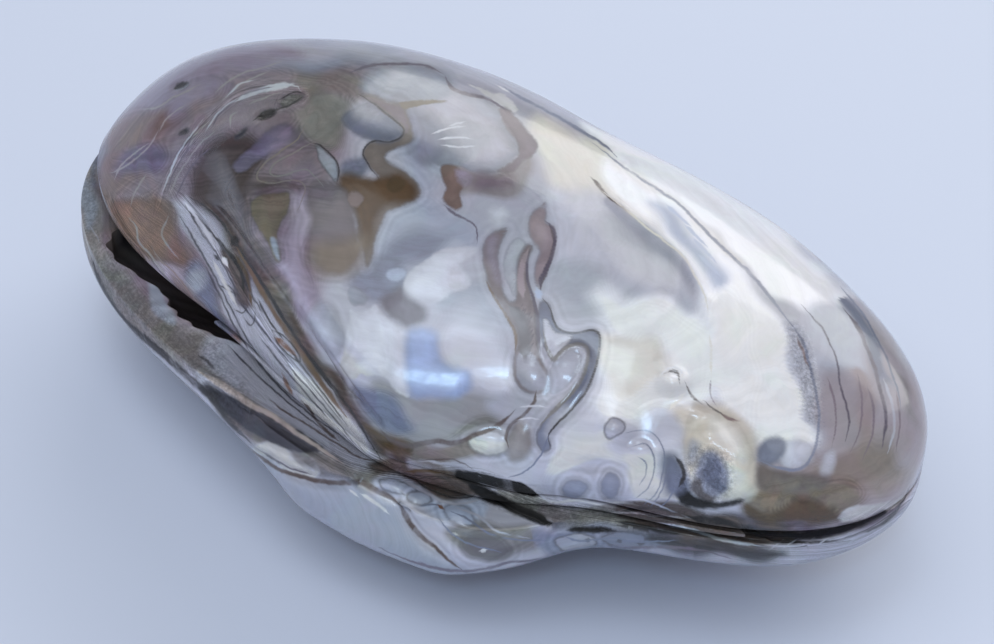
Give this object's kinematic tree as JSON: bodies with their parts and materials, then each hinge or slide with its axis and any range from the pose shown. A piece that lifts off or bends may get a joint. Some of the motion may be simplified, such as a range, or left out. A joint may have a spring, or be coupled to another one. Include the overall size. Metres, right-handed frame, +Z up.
{
  "type": "mussel shell",
  "caption": "Whole closed mussel shell, ground and polished down to its swirled nacre, with a gritty hinge ledge and the dried ligament in the split.",
  "frame": {"origin": "on the table, under the middle of the shell's box", "axes": "+X from the beak to the rear end, -Y the hinge side, +Z up"},
  "size_m": [0.1506, 0.0798, 0.0552],
  "materials": {
    "nacre_upper": "polished mother of pearl, swirled grey, cream, lilac and brown, with rough pits",
    "nacre_lower": "polished mother of pearl, with a gritty ground ledge on the hinge side",
    "dried_ligament": "matt, gritty, dried brown and grey layers"
  },
  "bodies": {
    "root": {"upper_valve": "nacre_upper", "lower_valve": "nacre_lower", "hinge_ligament": "dried_ligament"}
  },
  "joints": []
}
